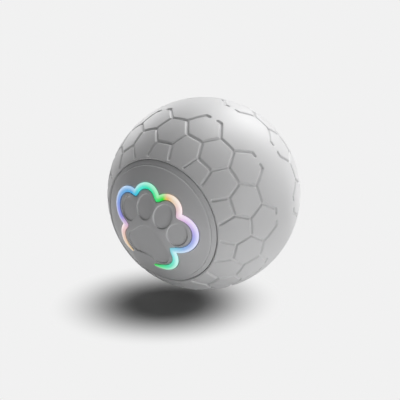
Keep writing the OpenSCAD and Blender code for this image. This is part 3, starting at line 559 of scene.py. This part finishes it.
paw = {
    "turn": -12.5,  # degrees
    "inner": (4.7, 10.3, 5.25), "outer": (10.9, 3.3, 7.05), "heel": (6.0, -8.7, 6.4),  # lobes: centre, radius
    "notch": 1.25, "point": 0.42,  # radius of the turn between two lobes, and how far its corner is drawn out
    "heelCentre": (0.0, 5.0), "start": -6.6, "end": 3.5,  # arc under the heel, and where the strip's ends lie
    "innerToe": (4.1, 7.7, 3.7, 5.0), "outerToe": (11.3, 2.9, 3.8, 4.7), "lean": 5.0,  # centre and half sizes
    "padTop": (0.0, -5.0, 6.0), "padCorner": (5.0, -9.0, 4.7),  # circles of the pad: centre, radius
    "padDent": (9.0, 1.2), "padWithin": 14.0,  # dent of the heel: radius, rise; circle that holds the pad
    "depth": 0.55, "shoulder": (0.2, 0.12),  # sunk depth, and how far its edge reaches out and in
    "step": 0.2, "sideStep": 0.28,  # points along the strip's middle and along its sides
    "toePoints": 96, "padPoints": 150, "halvings": 24,  # points round an outline, steps that find the pad's
}


def notchBetween(a, b):  # small circle that touches two lobes from outside
    a, b = np.array(a), np.array(b)
    gap = b[:2] - a[:2]
    span = np.linalg.norm(gap)
    ahead = gap / span
    ra, rb = a[2] + paw["notch"], b[2] + paw["notch"]
    run = (ra * ra - rb * rb + span * span) / (2 * span)
    centre = a[:2] + run * ahead + math.sqrt(ra * ra - run * run) * np.array([-ahead[1], ahead[0]])
    return (*centre, paw["notch"])


def stripLine():  # points along the strip, the way out of the paw, and what a turn adds to the half width
    right = [paw["inner"], paw["outer"], paw["heel"]]
    lobes = [(-x, y, r) for x, y, r in right[::-1]] + right
    heelX, heelY = paw["heelCentre"]
    heelR = math.hypot(paw["heel"][0] - heelX, paw["heel"][1] - heelY) + paw["heel"][2]
    arcs = [(heelX, heelY, heelR)]
    for k, lobe in enumerate(lobes):
        arcs += [lobe] + ([notchBetween(lobe, lobes[k + 1])] if k + 1 < len(lobes) else [])
    arcs.append(arcs[0])

    def touch(a, b):
        big, other = (a, b) if a[2] > b[2] else (b, a)
        gap = np.array(other[:2]) - np.array(big[:2])
        return np.array(big[:2]) + gap / np.linalg.norm(gap) * big[2]

    def heelPoint(x):
        return np.array([x, heelY - math.sqrt(heelR ** 2 - (x - heelX) ** 2)])

    joints = [heelPoint(paw["start"])] + [touch(a, b) for a, b in zip(arcs, arcs[1:])] + [heelPoint(paw["end"])]
    points, outward, wider = [], [], []
    for k, (x, y, radius) in enumerate(arcs):
        inward = 0 < k < len(arcs) - 1 and k % 2 == 0
        way = 1 if inward else -1
        start = math.atan2(joints[k][1] - y, joints[k][0] - x)
        sweep = (way * (math.atan2(joints[k + 1][1] - y, joints[k + 1][0] - x) - start)) % (2 * math.pi)
        steps = max(2, round(sweep * radius / paw["step"]))
        for n in range(steps + (k == len(arcs) - 1)):
            turned = sweep * n / steps
            direction = np.array([math.cos(start + way * turned), math.sin(start + way * turned)])
            corner = 1 / math.cos(min(turned, sweep - turned)) - 1 if inward else 0
            grow = paw["point"] * corner * (radius + lightStrip["width"] / 2) / 2
            points.append(np.array([x, y]) + (radius + grow) * direction)
            outward.append(-way * direction)
            wider.append(grow)
    return np.array(points), np.array(outward), np.array(wider)


stripPoints, stripOut, stripWider = stripLine()
stripAlong = np.r_[0, np.cumsum(np.linalg.norm(np.diff(stripPoints, axis=0), axis=1))]
stripLength = stripAlong[-1]


def stripShare():  # share of the full section that is left towards the tips
    left = np.minimum(stripAlong, stripLength - stripAlong)
    tip = lightStrip["tipShare"]
    share = np.minimum(1, tip + (1 - tip) * left / lightStrip["tipLength"])
    ends = np.clip(left / lightStrip["tipRound"], lightStrip["tipLeast"], 1)
    return share * np.sqrt(1 - (1 - ends) ** 2)


stripHeight = stripShare()
stripHalf = lightStrip["width"] / 2 * stripHeight + stripWider


def roundTurn(count):  # angles of points once round
    return np.linspace(0, 2 * math.pi, count, endpoint=False)


def padOutline():  # convex outline round the pad's three circles
    cloud = []
    cornerX, cornerY, cornerR = paw["padCorner"]
    for x, y, r in (paw["padTop"], (cornerX, cornerY, cornerR), (-cornerX, cornerY, cornerR)):
        cloud += [(x + r * math.cos(a), y + r * math.sin(a)) for a in roundTurn(paw["toePoints"])]
    cloud = sorted(cloud)

    def chain(points):
        kept = []
        for p in points:
            while len(kept) > 1 and ((kept[-1][0] - kept[-2][0]) * (p[1] - kept[-2][1])
                                     - (kept[-1][1] - kept[-2][1]) * (p[0] - kept[-2][0])) <= 0:
                kept.pop()
            kept.append(p)
        return kept[:-1]

    return np.array(chain(cloud) + chain(cloud[::-1]))


padEdge = padOutline()


def padDistance(flat):  # negative inside the pad
    ahead = np.roll(padEdge, -1, 0) - padEdge
    length = np.linalg.norm(ahead, axis=1)
    best, inside = np.full(len(flat), np.inf), np.ones(len(flat), bool)
    for start, gap, run in zip(padEdge, ahead, length):
        offset = flat - start
        share = np.clip(offset @ gap / run ** 2, 0, 1)
        best = np.minimum(best, np.linalg.norm(offset - share[:, None] * gap, axis=1))
        inside &= gap[0] * offset[:, 1] - gap[1] * offset[:, 0] > 0
    dentR, dentRise = paw["padDent"]
    dentY = paw["padCorner"][1] - paw["padCorner"][2] - dentR + dentRise
    dent = dentR - np.hypot(flat[:, 0], flat[:, 1] - dentY)
    return np.maximum(np.where(inside, -best, best), dent)


def toes():  # middle, half sizes, and cosine and sine of the lean
    for x, y, halfX, halfY in (paw["innerToe"], paw["outerToe"]):
        for side in (-1, 1):
            lean = math.radians(-side * paw["lean"])
            yield np.array([side * x, y]), halfX, halfY, math.cos(lean), math.sin(lean)


def toeDistance(flat):  # negative inside a toe, and close to millimetres near its edge
    best = np.full(len(flat), np.inf)
    tiny = 1e-6  # keeps a toe's middle from dividing by nought
    for middle, halfX, halfY, cosL, sinL in toes():
        x, y = (flat - middle).T
        px, py = x * cosL + y * sinL, y * cosL - x * sinL
        share = np.hypot(px / halfX, py / halfY)
        slope = np.hypot(px / halfX ** 2, py / halfY ** 2)
        best = np.minimum(best, share * (share - 1) / np.maximum(slope, tiny))
    return best


def stripDistance(flat):  # negative under the strip
    best = np.full(len(flat), np.inf)
    for point, half in zip(stripPoints, stripHalf):
        best = np.minimum(best, np.hypot(flat[:, 0] - point[0], flat[:, 1] - point[1]) - half)
    return best


def sunkOutlines():  # closed outlines of the four toes and the pad
    loops = []
    turn = roundTurn(paw["toePoints"])
    for middle, halfX, halfY, cosL, sinL in toes():
        px, py = halfX * np.cos(turn), halfY * np.sin(turn)
        loops.append(middle + np.stack([px * cosL - py * sinL, px * sinL + py * cosL], 1))
    turn = roundTurn(paw["padPoints"])
    ways = np.stack([np.cos(turn), np.sin(turn)], 1)
    middle = np.array([0, (paw["padTop"][1] + paw["padCorner"][1]) / 2])
    near, far = np.zeros(len(turn)), np.full(len(turn), paw["padWithin"])
    for _ in range(paw["halvings"]):  # halves the stretch that holds the edge
        guess = (near + far) / 2
        inside = padDistance(middle + ways * guess[:, None]) < 0
        near, far = np.where(inside, guess, near), np.where(inside, far, guess)
    loops.append(middle + ways * near[:, None])
    return loops


def stripOutline():  # closed outline of the strip
    sides = np.vstack([stripPoints + stripOut * stripHalf[:, None],
                       (stripPoints - stripOut * stripHalf[:, None])[::-1]])
    closed = np.vstack([sides, sides[:1]])
    run = np.r_[0, np.cumsum(np.linalg.norm(np.diff(closed, axis=0), axis=1))]
    spots = np.linspace(0, run[-1], int(run[-1] / paw["sideStep"]), endpoint=False)
    return np.stack([np.interp(spots, run, closed[:, k]) for k in (0, 1)], 1)


def besideLoop(loop, reach):  # the loop moved outwards along its own normals
    along = np.roll(loop, -1, 0) - np.roll(loop, 1, 0)
    along /= np.linalg.norm(along, axis=1, keepdims=True)
    after = np.roll(loop, -1, 0)
    turned = np.sign(np.sum(loop[:, 0] * after[:, 1] - loop[:, 1] * after[:, 0]))
    return loop + turned * reach * np.stack([along[:, 1], -along[:, 0]], 1)


# Caps

cap = {
    "radius": 23.05, "wall": 1.8, "rise": 8.4, "parting": 24.7,  # rise of the dome over the parting circle
    "rim": 0.36, "flangeOut": 0.8, "flange": 1.0,  # roundness of the rim, flange at the foot
    "seatDrop": 3.4, "rest": 0.8,  # seat under the parting line, foot over the seat
    "columns": 150, "rimRows": 5, "innerRows": 12, "centre": 0.8,  # turned skin, and its disc at the inner pole
    "spacing": 1.1, "offSunk": 0.75, "offStrip": 0.85,  # points of the plain face, and their least way from edges
    "shoulderRows": 7, "lipRows": (1.05, 0.8, 0.6, 0.4, 0.2, 0),  # rows along the edges, shares of the lip
    "crossing": 0.03, "probe": 0.02,  # slack of a row beside a turn, distance over which a slope is read
    "channel": 0.5, "channelGap": 0.08, "lip": 0.3,  # channel that the light strip lies in, and its rounded lip
    "sealMiddle": 22.55, "sealHalf": 0.55, "sealDeep": 0.55,  # groove of the rear cap's seal
}
slant = 0.7  # normals of sharp edges lean this much both ways
partingUp = math.sqrt(ballR ** 2 - cap["parting"] ** 2)
domeR = (cap["parting"] ** 2 + cap["rise"] ** 2) / (2 * cap["rise"])
domeUp = partingUp + cap["rise"] - domeR
footUp = partingUp - cap["seatDrop"] + cap["rest"]
rimUp = math.sqrt((domeR - cap["rim"]) ** 2 - (cap["radius"] - cap["rim"]) ** 2)
rimAngle = math.degrees(math.atan2(rimUp, cap["radius"] - cap["rim"]))
pawTurn = math.radians(paw["turn"])
upright = np.array([[math.cos(pawTurn), math.sin(pawTurn)], [-math.sin(pawTurn), math.cos(pawTurn)]])


def sunkDistance(flat):  # negative inside the toes and the pad
    return np.minimum(padDistance(flat), toeDistance(flat))


def reliefHeight(flat):
    outside, inside = paw["shoulder"]
    sunk = smoothStep((outside - sunkDistance(flat)) / (outside + inside))
    gap = (stripDistance(flat) - cap["channelGap"]) / cap["lip"]
    return -paw["depth"] * sunk - cap["channel"] * (1 - smoothStep(gap))


def makeFace():  # outer face of a cap: rows of points follow each edge, and triangles join them
    flat, edges = [], []

    def addLoop(loop):
        first = len(flat)
        flat.extend(loop.tolist())
        edges.extend([(first + k, first + (k + 1) % len(loop)) for k in range(len(loop))])

    faceR, columns = domeR * math.cos(math.radians(rimAngle)), cap["columns"]
    turn = 2 * math.pi * np.arange(columns) / columns - pawTurn
    addLoop(faceR * np.stack([np.cos(turn), np.sin(turn)], 1))
    outside, inside = paw["shoulder"]
    for loop in sunkOutlines():
        for reach in np.linspace(outside, -inside, cap["shoulderRows"]):
            addLoop(besideLoop(loop, reach))
    outline = stripOutline()
    for share in cap["lipRows"]:
        reach = cap["channelGap"] + share * cap["lip"]
        row = besideLoop(outline, reach)
        addLoop(row[stripDistance(row) > reach - cap["crossing"]])  # rows don't cross where the strip turns in
    step, wide = cap["spacing"], math.ceil(cap["radius"])
    x, y = np.meshgrid(np.arange(-wide, wide, step), np.arange(-wide, wide, step * math.sqrt(3) / 2))
    x = x + step / 2 * (np.arange(len(x)) % 2)[:, None]
    plain = np.stack([x.ravel(), y.ravel()], 1)
    plain = plain[np.linalg.norm(plain, axis=1) < faceR - step / 2]
    plain = plain[np.abs(sunkDistance(plain)) > cap["offSunk"]]
    flat.extend(plain[stripDistance(plain) > cap["offStrip"]].tolist())
    samePoint = 1e-6
    spots, _, faces, origins, _, _ = delaunay_2d_cdt([Vector(p) for p in flat], edges, [], 0, samePoint)
    flat = np.array([tuple(p) for p in spots])
    rim = {given: k for k, origin in enumerate(origins) for given in origin if given < columns}
    step = cap["probe"]
    slopeX = (reliefHeight(flat + [step, 0]) - reliefHeight(flat - [step, 0])) / (2 * step)
    slopeY = (reliefHeight(flat + [0, step]) - reliefHeight(flat - [0, step])) / (2 * step)
    radial = np.stack([flat[:, 0], flat[:, 1], np.sqrt(domeR ** 2 - (flat ** 2).sum(1))], 1) / domeR
    points = radial * (domeR + reliefHeight(flat))[:, None] + [0, 0, domeUp]
    normals = radial - np.stack([slopeX, slopeY, np.zeros(len(flat))], 1)
    for rows in (points, normals):
        rows[:, :2] = rows[:, :2] @ upright
    return points, normals, [list(face) for face in faces], [rim[k] for k in range(columns)]


capFace = makeFace()


def roundAxle(radius, out, angle):  # cap coordinates: across, up the paw, out along the axle
    return (radius * math.cos(angle), radius * math.sin(angle), out)


def facing(end, rows):  # cap coordinates turned to an end of the ball; end -1 is the front
    x, y, out = np.asarray(rows).T
    return np.stack([-end * x, end * out, y], 1)


def makeCap(name, node, end, body):
    points, normals, faces, edge = capFace
    faces = [face[:] for face in faces]
    rim, radius, columns = cap["rim"], cap["radius"], cap["columns"]
    inner, innerDome = radius - cap["wall"], domeR - cap["wall"]
    flangeR, flangeUp = radius + cap["flangeOut"], footUp + cap["flange"]
    profile = roundCorner((radius - rim, domeUp + rimUp), rim, rimAngle, 0, cap["rimRows"])[1:]
    profile += [(radius, flangeUp, 1, 0), (flangeR, flangeUp, slant, slant), (flangeR, footUp, slant, -slant)]
    if end > 0:  # the rear cap's foot has the groove of its seal
        for r, up in ((1, 0), (1, 1), (-1, 1), (-1, 0)):
            profile.append((cap["sealMiddle"] + r * cap["sealHalf"], footUp + up * cap["sealDeep"], 0, -1))
    profile.append((inner, footUp, -slant, -slant))
    innerFoot = math.degrees(math.acos(inner / innerDome))
    innerPole = math.degrees(math.acos(cap["centre"] / innerDome))
    lining = roundCorner((0, domeUp), innerDome, innerFoot, innerPole, cap["innerRows"])
    profile += [(r, up, -outward, -upward) for r, up, outward, upward in lining]
    extra, extraNormals = turnedRows(profile, columns, roundAxle)
    rings = [edge] + ringRows(len(points), len(profile), columns)
    faces += [face[::-1] for face in skinFaces(rings)]
    faces.append(rings[-1][::-1])  # disc at the inner pole
    points, normals = facing(end, np.vstack([points, extra])), facing(end, np.vstack([normals, extraNormals]))
    return addPiece(name, points, faces, normals, materials["cap_plastic"], body, node)


def makeStrip(name, node, end, body):  # rounded bead in the cap's channel
    bottom = -cap["channel"] * lightStrip["sink"]
    points, normals, marks = [], [], {"along": [], "across": [], "shine": []}
    for spot, outward, half, part, run in zip(stripPoints, stripOut, stripHalf, stripHeight, stripAlong):
        rise = lightStrip["rise"] * part
        section = [(-1, bottom, -1, 0), (1, bottom, 1, 0)]  # reach, height, normal out, normal up
        section += [(math.cos(a), rise * math.sin(a), rise * math.cos(a), half * math.sin(a))
                    for a in np.linspace(0, math.pi, lightStrip["sides"] + 1)]
        for reach, up, side, lift in section:
            x, y = (spot + outward * half * reach) @ upright
            dome = np.array([x, y, math.sqrt(domeR ** 2 - x * x - y * y)]) / domeR
            points.append(np.array([0, 0, domeUp]) + dome * (domeR + up))
            normals.append(np.array([*(outward * side) @ upright, 0]) + dome * lift)
            climb = lightStrip["footClimb"] * max(up, 0) / lightStrip["rise"]
            marks["along"].append(run / stripLength)
            marks["across"].append(reach)
            marks["shine"].append(min(1, lightStrip["foot"] + climb))
    rings = ringRows(0, len(stripPoints), len(section))
    faces = skinFaces(rings) + [rings[0][::-1], rings[-1]]
    piece = addPiece(name, facing(end, points), faces, facing(end, normals), glow, body, node)
    for mark, values in marks.items():
        piece.data.attributes.new(mark, "FLOAT", "POINT").data.foreach_set("value", values)
    return piece


# Bezels, the shoulder rings round the caps

bezel = {
    "outer": 24.6, "inner": 23.13, "skirt": 24.05,  # radius outside, at the cap, and inside the skirt
    "drop": 0.52, "lip": 1.1, "edge": 0.1,  # face under the ball's, lip over the cap's foot, round edges
    "rearLift": 0.1,  # foot of the rear bezel over the seat
    "columns": 180, "edgeRows": 5, "faceRows": 4,  # points round the ring, rows of its edges and its face
}


def makeBezel(name, node, end, body, lift):
    foot = partingUp - cap["seatDrop"] + lift
    topR, edge = ballR - bezel["drop"], bezel["edge"]
    outerC = bezel["outer"] - edge, math.sqrt((topR - edge) ** 2 - (bezel["outer"] - edge) ** 2)
    innerC = bezel["inner"] + edge, math.sqrt((topR - edge) ** 2 - (bezel["inner"] + edge) ** 2)
    outerTop = math.degrees(math.atan2(outerC[1], outerC[0]))
    innerTop = math.degrees(math.atan2(innerC[1], innerC[0]))
    lipUp = footUp + bezel["lip"]
    profile = [(bezel["outer"], foot, 1, 0)]
    profile += roundCorner(outerC, edge, 0, outerTop, bezel["edgeRows"])
    profile += roundCorner((0, 0), topR, outerTop, innerTop, bezel["faceRows"])[1:-1]
    profile += roundCorner(innerC, edge, innerTop, 180, bezel["edgeRows"])
    for radius, up in ((bezel["inner"], lipUp), (bezel["skirt"], lipUp), (bezel["skirt"], foot)):
        profile.append((radius, up, -slant, -slant))
    points, normals = turnedRows(profile, bezel["columns"], roundAxle)
    rings = ringRows(0, len(profile), bezel["columns"])
    return addPiece(name, facing(end, points), skinFaces(rings + rings[:1]), facing(end, normals),
                    materials["cap_plastic"], body, node)


makeCap("capFront", "front_cap", -1, "press_cap")
makeCap("capRear", "rear_cap", 1, "door")
makeStrip("stripFront", "front_light_strip", -1, "press_cap")
makeStrip("stripRear", "rear_light_strip", 1, "door")
makeBezel("bezelFront", "front_bezel", -1, "shell", 0)
makeBezel("bezelRear", "rear_bezel", 1, "door", bezel["rearLift"])
print("caps, strips and bezels done")


# Floor, light and camera

studio = {
    "floor": 3.0, "floorColour": (0.95, 0.95, 0.95), "paintedShadowColour": (0.34, 0.34, 0.34),  # metres across; the floor's colour for light that bounces off it, and the darker colour that the camera sees near the ball, a painted shadow
    "background": 0.88, "fill": 0.035,  # level that is seen, and weak light from all round
    "shadowMiddle": (-0.001, -0.025), "shadowTurn": 40, "shadowReach": (1.02, 0.71),  # oval round the shadow
    "fadeStart": 0.0107, "fadeEnd": 0.0455,  # metres; within, the camera sees the floor in the painted shadow colour, beyond, the floor is plain
    "lamps": {  # compass angle from behind the ball, angle above the floor, metres away, metres across, level
        "backHigh": (0, 60, 3.0, 1.8, 0.49), "backLow": (0, 30, 3.0, 1.8, 0.54),
        "left": (296, 7, 3.0, 1.3, 0.22), "right": (98, 5, 3.0, 1.3, 0.28),
    },
}
view = {"azimuth": 33.868, "elevation": 26.262, "distance": 0.5491, "lens": 125.15,
        "shiftX": -0.00966, "shiftY": -0.01644, "sensor": 36, "clip": (0.01, 20)}


def seenDirectly(tree):  # camera, glossy and transmission rays
    path = addNode(tree, "ShaderNodeLightPath")
    first = addNode(tree, "ShaderNodeMath", operation="MAXIMUM")
    second = addNode(tree, "ShaderNodeMath", operation="MAXIMUM")
    tree.links.new(path.outputs["Is Camera Ray"], first.inputs[0])
    tree.links.new(path.outputs["Is Glossy Ray"], first.inputs[1])
    tree.links.new(first.outputs["Value"], second.inputs[0])
    tree.links.new(path.outputs["Is Transmission Ray"], second.inputs[1])
    return second.outputs["Value"]


def makeFloor():
    half = studio["floor"] / 2
    mesh = bpy.data.meshes.new("floor")
    corners = [(-half, -half), (half, -half), (half, half), (-half, half)]
    mesh.from_pydata([(x, y, -ballR * mm) for x, y in corners], [], [(0, 1, 2, 3)])
    floor = bpy.data.objects.new("floor", mesh)
    bpy.context.scene.collection.objects.link(floor)
    material, tree, shader = newMaterial("pale_floor")
    link = tree.links.new
    # the camera sees the floor darker than bouncing light does: painted shadow, which shows only inside the oval
    tone = addNode(tree, "ShaderNodeMix", {
        "A": (*studio["floorColour"], 1), "B": (*studio["paintedShadowColour"], 1)}, data_type="RGBA")
    shader.inputs["Roughness"].default_value = 1.0
    shader.inputs["Specular IOR Level"].default_value = 0.0
    plain = addNode(tree, "ShaderNodeEmission", {"Color": (*[studio["background"]] * 3, 1), "Strength": 1.0})
    place = addNode(tree, "ShaderNodeNewGeometry")
    away = addNode(tree, "ShaderNodeVectorMath", operation="LENGTH")
    middle = addNode(tree, "ShaderNodeMapping", {
        "Location": (*studio["shadowMiddle"], -ballR * mm), "Scale": (*studio["shadowReach"], 1),
        "Rotation": (0, 0, math.radians(studio["shadowTurn"]))}, vector_type="TEXTURE")
    fade = addNode(tree, "ShaderNodeMapRange", {"From Min": studio["fadeStart"], "From Max": studio["fadeEnd"]},
                   interpolation_type="SMOOTHSTEP")
    seen = seenDirectly(tree)
    link(seen, tone.inputs["Factor"])
    link(tone.outputs["Result"], shader.inputs["Base Color"])
    both = addNode(tree, "ShaderNodeMath", operation="MULTIPLY")
    mix = addNode(tree, "ShaderNodeMixShader")
    link(place.outputs["Position"], middle.inputs["Vector"])
    link(middle.outputs["Vector"], away.inputs[0])
    link(away.outputs["Value"], fade.inputs["Value"])
    link(fade.outputs["Result"], both.inputs[0])
    link(seen, both.inputs[1])
    link(both.outputs["Value"], mix.inputs["Fac"])
    link(shader.outputs["BSDF"], mix.inputs[1])
    link(plain.outputs["Emission"], mix.inputs[2])
    link(mix.outputs["Shader"], tree.nodes["Material Output"].inputs["Surface"])
    mesh.materials.append(material)


def makeWorld():
    world = bpy.data.worlds.new("studio")
    bpy.context.scene.world = world
    world.use_nodes = True
    tree = world.node_tree
    dim = tree.nodes["Background"]
    dim.inputs["Color"].default_value = (*[studio["fill"]] * 3, 1)
    dim.inputs["Strength"].default_value = 1.0
    pale = addNode(tree, "ShaderNodeBackground", {"Color": (*[studio["background"]] * 3, 1), "Strength": 1.0})
    mix = addNode(tree, "ShaderNodeMixShader")
    tree.links.new(seenDirectly(tree), mix.inputs["Fac"])
    tree.links.new(dim.outputs["Background"], mix.inputs[1])
    tree.links.new(pale.outputs["Background"], mix.inputs[2])
    tree.links.new(mix.outputs["Shader"], tree.nodes["World Output"].inputs["Surface"])


def addLamp(name):
    turn, up, distance, size, level = studio["lamps"][name]
    turn, up = math.radians(turn), math.radians(up)
    toward = Vector((math.sin(turn) * math.cos(up), math.cos(turn) * math.cos(up), math.sin(up)))
    data = bpy.data.lights.new(name, "AREA")
    data.shape, data.size = "DISK", size
    data.energy = level * (math.pi * distance) ** 2  # at level 1 a surface facing the lamp shows its own colour
    lamp = bpy.data.objects.new(name, data)
    lamp.location = toward * distance
    lamp.rotation_euler = toward.to_track_quat("Z", "Y").to_euler()
    bpy.context.scene.collection.objects.link(lamp)


def addCamera():
    data = bpy.data.cameras.new("camera")
    data.lens, data.sensor_width = view["lens"], view["sensor"]
    data.shift_x, data.shift_y = view["shiftX"], view["shiftY"]
    data.clip_start, data.clip_end = view["clip"]
    camera = bpy.data.objects.new("camera", data)
    a, e = math.radians(view["azimuth"]), math.radians(view["elevation"])
    back = Vector((math.sin(a) * math.cos(e), -math.cos(a) * math.cos(e), math.sin(e)))
    camera.location = back * view["distance"]
    camera.rotation_euler = back.to_track_quat("Z", "Y").to_euler()
    bpy.context.scene.collection.objects.link(camera)
    bpy.context.scene.camera = camera


makeFloor()
makeWorld()
for name in studio["lamps"]:
    addLamp(name)
addCamera()
bpy.context.scene.view_settings.view_transform = "Standard"
print("floor, lamps and camera done")
